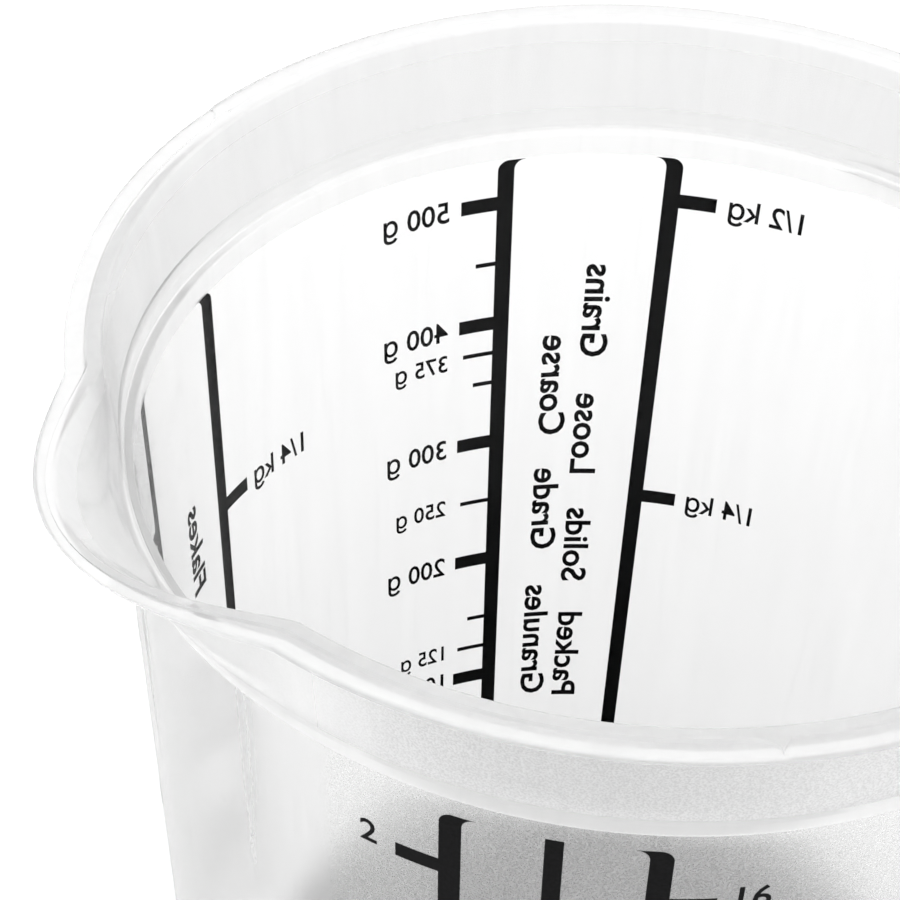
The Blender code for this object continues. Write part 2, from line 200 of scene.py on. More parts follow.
def ledge_end(turn, radius, height):
    """Curl the ledge's line out to the edge at its two ends, and fill the band beyond them."""
    if height < HEIGHT - LIP_THICKNESS / 2 or radius < ledge_line - LEDGE_DROP * 2:
        return radius, height
    from_spout = math.pi - abs(turn)
    past = (from_spout - math.radians(LEDGE_HALF_ANGLE)) * RIM_RADIUS / LEDGE_END_LENGTH + 1.0
    if past > 1.0:
        return radius, height + held((HEIGHT - height) / LEDGE_DROP) * (LEDGE_DROP - LEDGE_GROOVE)
    if radius < ledge_line + LEDGE_ROUNDING:
        curl = 1.0 - math.sqrt(1.0 - held(past) ** 2)
        radius += curl * (RIM_RADIUS - RIM_OUTER_EDGE - ledge_line)
    return radius, height


def turn_steps():
    """Angles round the cup, closer together where the ledge's line curls out."""
    turns = {round(360.0 * step / TURN_STEPS - 180.0, 3) for step in range(TURN_STEPS)}
    length = math.degrees(LEDGE_END_LENGTH / RIM_RADIUS)
    end = 180.0 - LEDGE_HALF_ANGLE
    for step in range(LEDGE_END_STEPS + 1):
        share = math.sin(math.pi / 2 * step / LEDGE_END_STEPS)
        turns |= {side * round(end + length * (1.0 - share), 3) for side in (-1, 1)}
    return [math.radians(turn) for turn in sorted(turns)]


def skin(work, rings):
    """Join neighbouring rings with faces, which have three corners where a ring is one point."""
    count = len(rings[0])
    for ring, following in zip(rings, rings[1:]):
        for i in range(count):
            j = (i + 1) % count
            corners = (ring[i], ring[j], following[j], following[i])
            work.faces.new(list(dict.fromkeys(corners)))


def finished_mesh(work, name, turn_out=True):
    """Write the shape in work to a new mesh, with its faces turned outwards."""
    if turn_out:
        bmesh.ops.recalc_face_normals(work, faces=work.faces)
    mesh = bpy.data.meshes.new(name)
    work.to_mesh(mesh)
    work.free()
    return mesh


def turned_mesh(name):
    """Turn the half section into a closed mesh, with the spout, ledge ends and panel shaped in."""
    turns = turn_steps()
    count = len(turns)
    work = bmesh.new()
    rings = []
    for radius, height in cup_profile():
        if radius < WALL:
            rings.append([work.verts.new((0.0, 0.0, height))] * count)
            continue
        ring = []
        for turn in turns:
            flat_radius, level = ledge_end(turn, radius, height)
            reach = flat_radius + pushed_out(turn, flat_radius, height)
            ring.append(work.verts.new((reach * math.cos(turn), reach * math.sin(turn), level)))
        rings.append(ring)
    skin(work, rings)
    return finished_mesh(work, name)


def new_piece(name, mesh):
    """Put a mesh in the scene under a piece's name."""
    mesh.name = name
    made = bpy.data.objects.new(name, mesh)
    bpy.context.scene.collection.objects.link(made)
    return made


cup_form = new_piece("cup_form", turned_mesh("cup_form"))


# The handle is part of the same moulding: a channel strap, open towards the cup, that leaves
# the collar opposite the spout, turns down in a round corner and flicks out at its free end.
# Its root flares into the flange, and its side walls run out towards the tip.
HANDLE_REACH = 0.0290
HANDLE_LENGTH = 0.0760
HANDLE_WIDTH_TOP = 0.0220
HANDLE_WIDTH_END = 0.0165
HANDLE_CORNER = 0.0130
HANDLE_LEAN = 4.0
HANDLE_FLICK = 22.0
HANDLE_FLICK_RADIUS = 0.0180
HANDLE_STRAP = 0.0020
HANDLE_RIB_DEPTH = 0.0075
HANDLE_RIB = 0.0018
HANDLE_RIB_FADE = 0.0260
HANDLE_END_DEPTH = 0.0026
HANDLE_EDGE = 0.0010
HANDLE_RIB_EDGE = 0.0003
HANDLE_INNER_FILLET = 0.0006
HANDLE_ROOT_FLARE = 0.0060
HANDLE_ROOT_LENGTH = 0.0120
HANDLE_SET_DOWN = 0.0001
HANDLE_STATION = 0.0012
SHARP_ANGLE = 50.0


def straight_run(start, end, angle):
    """Stations from one place up to, but not including, another, with one outward normal."""
    steps = math.ceil(math.dist(start, end) / HANDLE_STATION)
    stations = []
    for step in range(steps):
        place = Vector(start).lerp(Vector(end), step / steps)
        stations.append((place.x, place.y, angle))
    return stations


def bend(centre_x, centre_z, radius, start, end):
    """Stations round a bend. A negative radius bends towards the outward normal."""
    steps = math.ceil(abs(radius) * math.radians(abs(end - start)) / HANDLE_STATION)
    stations = []
    for step in range(steps + 1):
        angle = start + (end - start) * step / steps
        turn = math.radians(angle)
        x, z = centre_x + radius * math.cos(turn), centre_z + radius * math.sin(turn)
        stations.append((x, z, angle))
    return stations


def handle_route():
    """Stations along the handle's outer face: place and the direction of its outward normal."""
    top = HEIGHT - LEDGE_DROP - HANDLE_SET_DOWN
    root_x = collar_outside - HANDLE_RIB_DEPTH
    corner_x = RIM_RADIUS + HANDLE_REACH - HANDLE_CORNER
    lean = math.radians(HANDLE_LEAN)
    flick = math.radians(HANDLE_FLICK)
    corner = bend(corner_x, top - HANDLE_CORNER, HANDLE_CORNER, 90.0, -HANDLE_LEAN)
    straight_x, straight_z, angle = corner[-1]
    flick_z = top - HANDLE_LENGTH + HANDLE_FLICK_RADIUS * (math.sin(flick - lean) + math.sin(lean))
    flick_x = straight_x - math.tan(lean) * (straight_z - flick_z)
    centre_x = flick_x + HANDLE_FLICK_RADIUS * math.cos(lean)
    centre_z = flick_z - HANDLE_FLICK_RADIUS * math.sin(lean)
    stations = straight_run((root_x, top), (corner_x, top), 90.0)
    stations += corner[:-1]
    stations += straight_run((straight_x, straight_z), (flick_x, flick_z), angle)
    stations += bend(centre_x, centre_z, -HANDLE_FLICK_RADIUS, angle, angle + HANDLE_FLICK)
    return stations


def handle_section(half_width, rib_depth):
    """Channel section across the handle: sideways and height above the outer face."""
    inner = half_width - HANDLE_RIB
    inner_fillet = HANDLE_INNER_FILLET * held((rib_depth - HANDLE_STRAP) / HANDLE_STRAP)
    corners = [
        (0.0, 0.0, 0.0),
        (half_width, 0.0, HANDLE_EDGE),
        (half_width, -rib_depth, HANDLE_RIB_EDGE),
        (inner, -rib_depth, HANDLE_RIB_EDGE),
        (inner, -HANDLE_STRAP, inner_fillet),
        (0.0, -HANDLE_STRAP, 0.0),
    ]
    right = rounded_path(corners, ROUNDING_STEPS)
    left = [Vector((-point.x, point.y)) for point in reversed(right[1:-1])]
    return right + left


def handle_mesh(name):
    """Loft the channel section along the handle's route."""
    route = handle_route()
    travelled = [0.0]
    for here, there in zip(route, route[1:]):
        travelled.append(travelled[-1] + math.dist(here[:2], there[:2]))
    total = travelled[-1]
    inside_rim = RIM_RADIUS - route[0][0]
    work = bmesh.new()
    rings = []
    for (x, z, angle), along in zip(route, travelled):
        half = (HANDLE_WIDTH_TOP + (HANDLE_WIDTH_END - HANDLE_WIDTH_TOP) * along / total) / 2
        flare = HANDLE_ROOT_FLARE * (1.0 - held((along - inside_rim) / HANDLE_ROOT_LENGTH)) ** 2
        full = smooth_step((total - along) / HANDLE_RIB_FADE)
        depth = HANDLE_END_DEPTH + (HANDLE_RIB_DEPTH - HANDLE_END_DEPTH) * full
        turn = math.radians(angle)
        ring = []
        for sideways, out in handle_section(half + flare, depth):
            place = (x + out * math.cos(turn), sideways, z + out * math.sin(turn))
            ring.append(work.verts.new(place))
        rings.append(ring)
    skin(work, rings)
    work.faces.new(rings[0])
    work.faces.new(rings[-1])
    return finished_mesh(work, name)


def bore_mesh(name):
    """A conical plug that trims the handle's root to the middle of the collar's wall."""
    middle = RIM_RADIUS - (RIM_WIDTH + LIP_OVERHANG) / 2
    work = bmesh.new()
    bmesh.ops.create_cone(work, cap_ends=True, segments=TURN_STEPS, radius1=middle - COLLAR_TAPER,
                          radius2=middle + COLLAR_TAPER, depth=2 * COLLAR_DEPTH)
    bmesh.ops.translate(work, verts=work.verts, vec=(0.0, 0.0, HEIGHT))
    return finished_mesh(work, name, turn_out=False)


def combined(obj, operation, other):
    """Add one exact Boolean to an object."""
    step = obj.modifiers.new(operation.lower(), "BOOLEAN")
    step.operation = operation
    step.solver = "EXACT"
    step.object = other


def baked(obj):
    """Turn an object's evaluated shape into a plain mesh, and remove the object."""
    bpy.context.view_layer.update()
    shaped = obj.evaluated_get(bpy.context.evaluated_depsgraph_get())
    mesh = bpy.data.meshes.new_from_object(shaped)
    bpy.data.objects.remove(obj, do_unlink=True)
    return mesh


handle_form = new_piece("handle_form", handle_mesh("handle_form"))
bore_form = new_piece("bore_form", bore_mesh("bore_form"))
combined(handle_form, "DIFFERENCE", bore_form)
combined(cup_form, "UNION", handle_form)
cup = new_piece("measuring_cup", baked(cup_form))
bpy.data.objects.remove(handle_form, do_unlink=True)
bpy.data.objects.remove(bore_form, do_unlink=True)
cup.data.shade_smooth()
cup.data.set_sharp_from_angle(angle=math.radians(SHARP_ANGLE))


# Natural polypropylene looks milkier the thicker it is: clear inside, milkiest on the flange.
# The inside and the flange are polished, the outside has the mould's fine grain, coarsest on
# the collar, and the strip under the spout is smooth between two rougher seams.
CLEAR, MILKY, MILKIER, MILKIEST = range(4)
COLLAR_GRAIN = 1.0
COLLAR_GRAIN_FADE = 14.0
BODY_GRAIN = 0.30
BODY_GRAIN_FADE = 22.0
HANDLE_GRAIN = 0.30
STRIP_GRAIN = 0.12
STRIP_HALF_ANGLE = 12.15
SHOULDER_BAND_BELOW = 0.0020
SHOULDER_BAND_ABOVE = 0.0007
SEAM_HALF_ANGLE = 1.1
SEAM_FOOT = 0.062
SEAM_HEAD = 0.088
SEAM_GRAIN = 0.5
SEAM_SHADE = 0.16
PLASTIC_IOR = 1.20
POLISHED_ROUGHNESS = 0.10
GRAINED_ROUGHNESS = 0.58
SPECKLE_SIZE = 0.20
SPECKLE_CONTRAST = 1.4
SPECKLE_FINISH = 0.15
SPECKLE_SHADE = 0.22
GLINT_FINISH = 0.30
NOISE_SPREAD = 0.18
FLOW_SHADE = 0.03
BASE_PAINTED_SHADE = 0.12
GRAIN_RELIEF = 0.12
GRAIN_HEIGHT = 0.0001
WHITE = (1.0, 1.0, 1.0, 1.0)
BLACK = (0.0, 0.0, 0.0, 1.0)


def wall_middle(turn, height):
    """Radius of the middle of the wall at an angle and a height."""
    if height > shoulder:
        taper = COLLAR_TAPER * (HEIGHT - height) / COLLAR_DEPTH
        faces = (collar_inside - taper, collar_outside - taper)
    else:
        faces = (body_radius(height) - WALL, body_radius(height))
    return sum(radius + pushed_out(turn, radius, height) for radius in faces) / 2


def grain_at(point):
    """How coarse the mould's grain is at a point of the cup, from 0 to 1."""
    turn = math.atan2(point.y, point.x)
    radius = math.hypot(point.x, point.y)
    bead_head = shoulder - STEP_OFFSET + BEAD_HEIGHT
    middle = wall_middle(turn, point.z)
    if point.z > HEIGHT - LIP_THICKNESS - LIP_FILLET or radius < middle:
        return BODY_GRAIN if point.z < FLOOR / 2 else 0.0
    if radius > middle + WALL + BEAD_PROUD:
        return HANDLE_GRAIN
    from_spout = 180.0 - abs(math.degrees(turn))
    if point.z > bead_head:
        rough = smooth_step((from_spout - SPOUT_HALF_ANGLE) / COLLAR_GRAIN_FADE)
        return BODY_GRAIN + (COLLAR_GRAIN - BODY_GRAIN) * rough
    if point.z > shoulder - STEP_OFFSET - STEP_BLEND:
        return STRIP_GRAIN
    coarse = smooth_step((from_spout - STRIP_HALF_ANGLE) / BODY_GRAIN_FADE)
    return STRIP_GRAIN + (BODY_GRAIN - STRIP_GRAIN) * coarse


def milkiness_at(point):
    """Which grade of milkiness a point of the cup shows."""
    radius = math.hypot(point.x, point.y)
    if point.z > HEIGHT - LIP_THICKNESS - LIP_FILLET:
        return MILKIEST
    turn = math.atan2(point.y, point.x)
    if radius < wall_middle(turn, point.z):
        if -SHOULDER_BAND_BELOW < point.z - shoulder < SHOULDER_BAND_ABOVE:
            return MILKIER
        return MILKY if point.z > shoulder else CLEAR
    on_collar = point.z > shoulder - STEP_OFFSET and radius < RIM_RADIUS + SPOUT_REACH
    return MILKIER if on_collar else MILKY


def base_at(point):
    """Whether a point belongs to the thick base."""
    level = FLOOR + FLOOR_FILLET / 3
    return 1.0 if point.z < level and math.hypot(point.x, point.y) < body_radius(0.0) else 0.0


for label, rule in (("grain", grain_at), ("base", base_at)):
    mask = cup.data.attributes.new(label, "FLOAT", "POINT")
    mask.data.foreach_set("value", [rule(vertex.co) for vertex in cup.data.vertices])


def add_node(tree, kind, sources=(), **settings):
    """Add a node: settings are its properties, sources pair its inputs with values or links."""
    node = tree.nodes.new(kind)
    for key, value in settings.items():
        setattr(node, key, value)
    for key, value in sources:
        if isinstance(value, bpy.types.NodeSocket):
            tree.links.new(value, node.inputs[key])
        else:
            node.inputs[key].default_value = value
    return node


def maths(tree, operation, *values):
    """One Math node on values or links, and its result."""
    sources = list(enumerate(values))
    return add_node(tree, "ShaderNodeMath", sources, operation=operation).outputs[0]


def span(tree, value, low, high, to_low=0.0, to_high=1.0, smooth=False):
    """Map a range of a value to another range, and stop at its ends."""
    kind = "SMOOTHSTEP" if smooth else "LINEAR"
    sources = [("Value", value), ("From Min", low), ("From Max", high),
               ("To Min", to_low), ("To Max", to_high)]
    node = add_node(tree, "ShaderNodeMapRange", sources, interpolation_type=kind)
    return node.outputs["Result"]


def blend(tree, factor, first, second):
    """Mix two colours."""
    sources = [(0, factor), (6, first), (7, second)]
    return add_node(tree, "ShaderNodeMix", sources, data_type="RGBA").outputs[2]


def object_place(tree):
    """Where on the piece the shaded point lies, in metres."""
    return add_node(tree, "ShaderNodeTexCoord").outputs["Object"]


def parts_of(tree, vector):
    """The X, Y and Z of a vector."""
    return add_node(tree, "ShaderNodeSeparateXYZ", [(0, vector)]).outputs


def new_group(name, inputs, output):
    """Start a shader group with number inputs and one number output, and give its inputs."""
    tree = bpy.data.node_groups.new(name, "ShaderNodeTree")
    for label, value in inputs:
        socket = tree.interface.new_socket(label, in_out="INPUT", socket_type="NodeSocketFloat")
        socket.default_value = value
    tree.interface.new_socket(output, in_out="OUTPUT", socket_type="NodeSocketFloat")
    return tree, add_node(tree, "NodeGroupInput").outputs


def grain_group():
    """Fine mould grain: a speckle from 0 to 1 for a grain size in millimetres."""
    tree, given = new_group("mould_grain", [("Size", 0.25), ("Contrast", 1.0)], "Speckle")
    per_metre = maths(tree, "DIVIDE", 1000.0, given["Size"])
    cells = add_node(tree, "ShaderNodeVectorMath", [(0, object_place(tree)), ("Scale", per_metre)],
                     operation="SCALE")
    noise = add_node(tree, "ShaderNodeTexNoise", [("Vector", cells.outputs[0]), ("Scale", 1.0),
                                                  ("Detail", 2.0), ("Roughness", 0.6)])
    half = maths(tree, "DIVIDE", NOISE_SPREAD, given["Contrast"])
    low = maths(tree, "SUBTRACT", 0.5, half)
    high = maths(tree, "ADD", 0.5, half)
    add_node(tree, "NodeGroupOutput", [("Speckle", span(tree, noise.outputs["Fac"], low, high))])
    return tree


def flow_group():
    """Flow marks of the melt: faint lines that run down the wall, from 0 to 1."""
    inputs = [("Lines Per Metre", 300.0), ("Stretch", 0.03), ("Sharpness", 6.0)]
    tree, given = new_group("flow_marks", inputs, "Lines")
    place = parts_of(tree, object_place(tree))
    down = maths(tree, "MULTIPLY", place["Z"], given["Stretch"])
    drawn = add_node(tree, "ShaderNodeCombineXYZ", [("X", place["X"]), ("Y", place["Y"]),
                                                    ("Z", down)])
    noise = add_node(tree, "ShaderNodeTexNoise", [("Vector", drawn.outputs[0]),
                                                  ("Scale", given["Lines Per Metre"]),
                                                  ("Detail", 2.0), ("Distortion", 0.4)])
    ridge = maths(tree, "ABSOLUTE", maths(tree, "MULTIPLY_ADD", noise.outputs["Fac"], 2.0, -1.0))
    line = maths(tree, "POWER", maths(tree, "SUBTRACT", 1.0, ridge), given["Sharpness"])
    add_node(tree, "NodeGroupOutput", [("Lines", line)])
    return tree


mould_grain = grain_group()
flow_marks = flow_group()


def new_material(name):
    """A node material with its Principled shader."""
    mat = bpy.data.materials.new(name)
    mat.use_nodes = True
    return mat, mat.node_tree, mat.node_tree.nodes["Principled BSDF"]


def seam_mask(tree):
    """The rough seams down the sides of the strip under the spout."""
    place = parts_of(tree, object_place(tree))
    turn = maths(tree, "ARCTAN2", place["Y"], place["X"])
    from_spout = maths(tree, "SUBTRACT", math.pi, maths(tree, "ABSOLUTE", turn))
    off = maths(tree, "SUBTRACT", from_spout, math.radians(STRIP_HALF_ANGLE))
    apart = maths(tree, "ABSOLUTE", off)
    across = span(tree, apart, math.radians(SEAM_HALF_ANGLE), 0.0, smooth=True)
    below = span(tree, place["Z"], shoulder, shoulder - BEAD_HEIGHT, smooth=True)
    above = span(tree, place["Z"], SEAM_FOOT, SEAM_HEAD, smooth=True)
    return maths(tree, "MULTIPLY", across, maths(tree, "MULTIPLY", below, above))


def polypropylene_material(name, clearness, behind, gloss, glint, haze, coat):
    """Plastic whose roughness, tint and speckle follow the masks of the mould's finish.

    Clearness is the share of light that it lets through, and behind is a painted shade that
    darkens its back faces. The coat is as strong as gloss all over and as glint in the speckle,
    with haze for its roughness and coat for its index.
    """
    mat, tree, shader = new_material(name)
    shader.inputs["IOR"].default_value = PLASTIC_IOR
    shader.inputs["Transmission Weight"].default_value = clearness
    shader.inputs["Coat Roughness"].default_value = haze
    shader.inputs["Coat IOR"].default_value = coat

    grain, base = (add_node(tree, "ShaderNodeAttribute", attribute_name=label).outputs["Fac"]
                   for label in ("grain", "base"))
    seam = seam_mask(tree)
    finish = maths(tree, "MULTIPLY_ADD", seam, SEAM_GRAIN, grain)
    roughness = span(tree, finish, 0.0, 1.0, POLISHED_ROUGHNESS, GRAINED_ROUGHNESS)
    back = add_node(tree, "ShaderNodeNewGeometry").outputs["Backfacing"]
    front = maths(tree, "SUBTRACT", 1.0, back)
    speckle = add_node(tree, "ShaderNodeGroup", [("Size", SPECKLE_SIZE),
                                                 ("Contrast", SPECKLE_CONTRAST)],
                       node_tree=mould_grain).outputs["Speckle"]
    lines = add_node(tree, "ShaderNodeGroup", node_tree=flow_marks).outputs["Lines"]

    depth = span(tree, finish, SPECKLE_FINISH, 1.0, 0.0, SPECKLE_SHADE)
    depth = maths(tree, "MULTIPLY", depth, front)
    depth = maths(tree, "ADD", depth, maths(tree, "MULTIPLY", seam, SEAM_SHADE))
    dots = maths(tree, "MULTIPLY", speckle, depth)
    marks = maths(tree, "MULTIPLY", lines, FLOW_SHADE)
    # Painted shade: the back faces are darkened, and the thick base too, both for its thicker
    # plastic and for the shade under the cup.
    dim = maths(tree, "MULTIPLY_ADD", back, behind, maths(tree, "MULTIPLY", base, BASE_PAINTED_SHADE))
    shade = maths(tree, "ADD", maths(tree, "ADD", dots, marks), dim)

    glinting = span(tree, finish, SPECKLE_FINISH, GLINT_FINISH, 0.0, glint)
    glints = maths(tree, "MULTIPLY", speckle, glinting)
    shiny = maths(tree, "MULTIPLY_ADD", glints, front, gloss)
    bump = add_node(tree, "ShaderNodeBump", [("Height", maths(tree, "MULTIPLY", speckle, grain)),
                                             ("Strength", GRAIN_RELIEF),
                                             ("Distance", GRAIN_HEIGHT)])
    tree.links.new(blend(tree, shade, WHITE, BLACK), shader.inputs["Base Color"])
    tree.links.new(roughness, shader.inputs["Roughness"])
    tree.links.new(shiny, shader.inputs["Coat Weight"])
    tree.links.new(bump.outputs["Normal"], shader.inputs["Normal"])
    return mat


grades = {
    "clear": dict(clearness=1.0, behind=0.0, gloss=0.0, glint=0.0, haze=0.22, coat=1.49),
    "milky": dict(clearness=0.80, behind=0.0, gloss=0.0, glint=1.0, haze=0.60, coat=2.4),
    "milkier": dict(clearness=0.55, behind=0.05, gloss=0.0, glint=0.0, haze=0.22, coat=1.49),
    "milkiest": dict(clearness=0.65, behind=0.10, gloss=0.6, glint=0.0, haze=0.22, coat=1.49),
}
cup.data.materials.clear()
for grade, look in grades.items():
    cup.data.materials.append(polypropylene_material(grade + "_polypropylene", **look))
for face in cup.data.polygons:
    face.material_index = milkiness_at(face.center)
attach(cup, "root")
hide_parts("cup")


# The scales are black screen print on the outside of the wall, a film far thinner than it.
# Each has a hooked bar, ticks at the heights that a volume or a weight fills the cone to,
# figures and captions. Geometry nodes set the ticks and wrap the flat print round the cone.
FILM = 0.00006
SCALE_BELOW_RIM = 0.0158
SCALE_FOOT = 0.0080
BAR_WIDTH = 0.0017
WIDE_BAR_WIDTH = 0.0019
CENTRE_BAR_WIDTH = 0.0015
HOOK_LENGTH = 0.0011
HOOK_DEPTH = 0.0012
HOOK_STEPS = 8
MAIN_TICK = (0.0038, 0.0017)
MIDDLE_TICK = (0.0033, 0.0005)
SHORT_TICK = (0.0021, 0.0005)
TICK_FACETS = 6
SUGAR_PANEL_ANGLE = 64.0
FLOUR_PANEL_ANGLE = 132.4
LIQUID_PANEL_ANGLE = -131.6
DRY_BAR_SPREAD = 10.25
LIQUID_BAR_SPREAD = 10.5
KILOGRAM_BAR_LEAN = 0.87
SUGAR_DENSITY = 0.97
FLOUR_DENSITY = 0.68
CUP_VOLUME = 251.2
OUNCE_VOLUME = 31.4
MILLILITRE = 1e-6
DIGIT_HEIGHT = 0.0025
SMALL_DIGIT_HEIGHT = 0.0021
LARGE_DIGIT_HEIGHT = 0.0027
DIGIT_WIDTH_SHARE = 0.88
DIGIT_WEIGHT = 0.010
DIGIT_GAP = 0.0013
CAPTION_HEIGHT = 0.0028
CAPTION_WIDTH_SHARE = 1.14
CAPTION_WEIGHT = 0.018
LIQUID_DIGIT_RISE = 0.0008
LETTER_FACET = 0.0010
LETTER_CURVE_STEPS = 3
CAPITAL_SHARE = 0.682
INK_SHINE = 0.03
MOTTLE_SIZE = 0.35
FULL_INK = (0.0040, 0.0040, 0.0043, 1.0)
THIN_INK = (0.0085, 0.0085, 0.0090, 1.0)
FULL_INK_ROUGHNESS = 0.40
THIN_INK_ROUGHNESS = 0.55
GRAM = "ɡ"  # the g with an open tail

scale_top = HEIGHT - SCALE_BELOW_RIM
print_middle = (scale_top + SCALE_FOOT) / 2
print_radius = body_radius(print_middle)
floor_radius = body_radius(FLOOR) - WALL


def new_tree(name, counts, measures):
    """Start a geometry node tree that takes a mesh, whole numbers, measures and an ink."""
    tree = bpy.data.node_groups.new(name, "GeometryNodeTree")
    tree.interface.new_socket("Geometry", in_out="OUTPUT", socket_type="NodeSocketGeometry")
    for labels, kind in ((("Geometry",), "Geometry"), (counts, "Int"), (measures, "Float"),
                         (("Ink",), "Material")):
        for label in labels:
            tree.interface.new_socket(label, in_out="INPUT", socket_type="NodeSocket" + kind)
    return tree


def painted_end(tree, geometry, ink):
    """End a geometry node tree: make its instances real and paint it with ink."""
    real = add_node(tree, "GeometryNodeRealizeInstances", [("Geometry", geometry)])
    painted = add_node(tree, "GeometryNodeSetMaterial", [("Geometry", real.outputs[0]),
                                                         ("Material", ink)])
    add_node(tree, "NodeGroupOutput", [(0, painted.outputs[0])])


def tick_tree():
    """Adds a row of ticks, beside the flat bar, at the heights that stepped volumes fill to."""
    tree = new_tree("scale_ticks", ("Count",), (
        "First Volume", "Volume Step", "Bar Edge", "Length", "Thickness", "Side", "Film",
        "Floor Radius", "Floor Height", "Slope"))
    given = add_node(tree, "NodeGroupInput").outputs
    index = add_node(tree, "GeometryNodeInputIndex").outputs[0]
    volume = maths(tree, "MULTIPLY_ADD", index, given["Volume Step"], given["First Volume"])
    cone = maths(tree, "MULTIPLY", maths(tree, "MULTIPLY", volume, given["Slope"]), 3.0 / math.pi)
    cube = maths(tree, "ADD", maths(tree, "POWER", given["Floor Radius"], 3.0), cone)
    grown = maths(tree, "SUBTRACT", maths(tree, "POWER", cube, 1.0 / 3.0), given["Floor Radius"])
    climb = maths(tree, "DIVIDE", grown, given["Slope"])
    height = maths(tree, "ADD", climb, given["Floor Height"])
    middle = maths(tree, "MULTIPLY_ADD", given["Length"], 0.5, given["Bar Edge"])
    across = maths(tree, "MULTIPLY", middle, given["Side"])
    place = add_node(tree, "ShaderNodeCombineXYZ", [("X", across), ("Y", height)])
    points = add_node(tree, "GeometryNodePoints", [("Count", given["Count"]),
                                                   ("Position", place.outputs[0])])
    size = add_node(tree, "ShaderNodeCombineXYZ", [("X", given["Length"]),
                                                   ("Y", given["Thickness"]),
                                                   ("Z", given["Film"])])
    tick = add_node(tree, "GeometryNodeMeshCube", [("Size", size.outputs[0]),
                                                   ("Vertices X", TICK_FACETS)])
    row = add_node(tree, "GeometryNodeInstanceOnPoints", [("Points", points.outputs[0]),
                                                          ("Instance", tick.outputs["Mesh"])])
    joined = add_node(tree, "GeometryNodeJoinGeometry")
    tree.links.new(row.outputs["Instances"], joined.inputs[0])
    tree.links.new(given["Geometry"], joined.inputs[0])
    painted_end(tree, joined.outputs[0], given["Ink"])
    return tree


def wrap_tree():
    """Wraps a flat print, across, up and out, round the conical wall."""
    tree = new_tree("wrap_round_wall", (), (
        "Turn", "Lean", "Middle Height", "Print Radius", "Foot Radius", "Slope"))
    given = add_node(tree, "NodeGroupInput").outputs
    flat = parts_of(tree, add_node(tree, "GeometryNodeInputPosition").outputs[0])
    climb = maths(tree, "SUBTRACT", given["Middle Height"], flat["Y"])
    leaning = maths(tree, "MULTIPLY_ADD", climb, given["Lean"], given["Turn"])
    turn = maths(tree, "ADD", maths(tree, "DIVIDE", flat["X"], given["Print Radius"]), leaning)
    wall = maths(tree, "MULTIPLY_ADD", flat["Y"], given["Slope"], given["Foot Radius"])
    radius = maths(tree, "ADD", wall, flat["Z"])
    east = maths(tree, "MULTIPLY", maths(tree, "COSINE", turn), radius)
    north = maths(tree, "MULTIPLY", maths(tree, "SINE", turn), radius)
    laid = add_node(tree, "ShaderNodeCombineXYZ", [("X", east), ("Y", north), ("Z", flat["Y"])])
    moved = add_node(tree, "GeometryNodeSetPosition", [("Geometry", given["Geometry"]),
                                                       ("Position", laid.outputs[0])])
    painted_end(tree, moved.outputs[0], given["Ink"])
    return tree


def with_nodes(obj, tree, **values):
    """Add a geometry node modifier and set its inputs by their sockets' identifiers."""
    modifier = obj.modifiers.new(tree.name, "NODES")
    modifier.node_group = tree
    for item in tree.interface.items_tree:
        if item.item_type == "SOCKET" and item.in_out == "INPUT" and item.name != "Geometry":
            modifier[item.identifier] = values[item.name.lower().replace(" ", "_")]


def ink_material():
    """Black screen ink: even and slightly satin, with the screen's faint mottle."""
    mat, tree, shader = new_material("black_screen_ink")
    shader.inputs["Specular IOR Level"].default_value = INK_SHINE
    mottle = add_node(tree, "ShaderNodeGroup", [("Size", MOTTLE_SIZE)],
                      node_tree=mould_grain).outputs["Speckle"]
    roughness = span(tree, mottle, 0.0, 1.0, FULL_INK_ROUGHNESS, THIN_INK_ROUGHNESS)
    tree.links.new(blend(tree, mottle, FULL_INK, THIN_INK), shader.inputs["Base Color"])
    tree.links.new(roughness, shader.inputs["Roughness"])
    return mat


def bar_outline(width, side, hooked):
    """Flat outline of a bar; its hook points away from the ticks."""
    half = width / 2
    outline = [(-half, SCALE_FOOT), (half, SCALE_FOOT)]
    if hooked:
        quarter = [math.pi / 2 * step / HOOK_STEPS for step in range(HOOK_STEPS + 1)]
        turns = [(1.0 - math.cos(turn), scale_top - HOOK_DEPTH + HOOK_DEPTH * math.sin(turn))
                 for turn in quarter]
        outline += [(half - HOOK_DEPTH * back, height) for back, height in turns]
        outline += [(-half - HOOK_LENGTH * back, height) for back, height in reversed(turns)]
    else:
        outline += [(half, scale_top), (-half, scale_top)]
    return [(x * side, y) for x, y in outline]


def print_layer(kind, name):
    """A flat curve with the film's thickness, ready for its outline or its words."""
    curve = bpy.data.curves.new(name, kind)
    curve.extrude = FILM / 2
    return curve


def bar_print(outline):
    """Fill a bar's outline."""
    curve = print_layer("CURVE", "bar")
    curve.dimensions = "2D"
    curve.fill_mode = "BOTH"
    line = curve.splines.new("POLY")
    line.points.add(len(outline) - 1)
    for point, (x, y) in zip(line.points, outline):
        point.co = (x, y, 0.0, 1.0)
    line.use_cyclic_u = True
    return baked(new_piece("bar", curve))


def letter_print(words, height, weight, width_share):
    """Words as high as asked from the foot to the top of a figure, with their start at zero."""
    curve = print_layer("FONT", "letters")
    curve.body = words
    curve.size = height / CAPITAL_SHARE
    curve.offset = weight * curve.size
    curve.resolution_u = LETTER_CURVE_STEPS
    mesh = baked(new_piece("letters", curve))
    mesh.transform(Matrix.Diagonal((width_share, 1.0, 1.0, 1.0)))
    start = min(vertex.co.x for vertex in mesh.vertices)
    mesh.transform(Matrix.Translation((-start, 0.0, 0.0)))
    return mesh


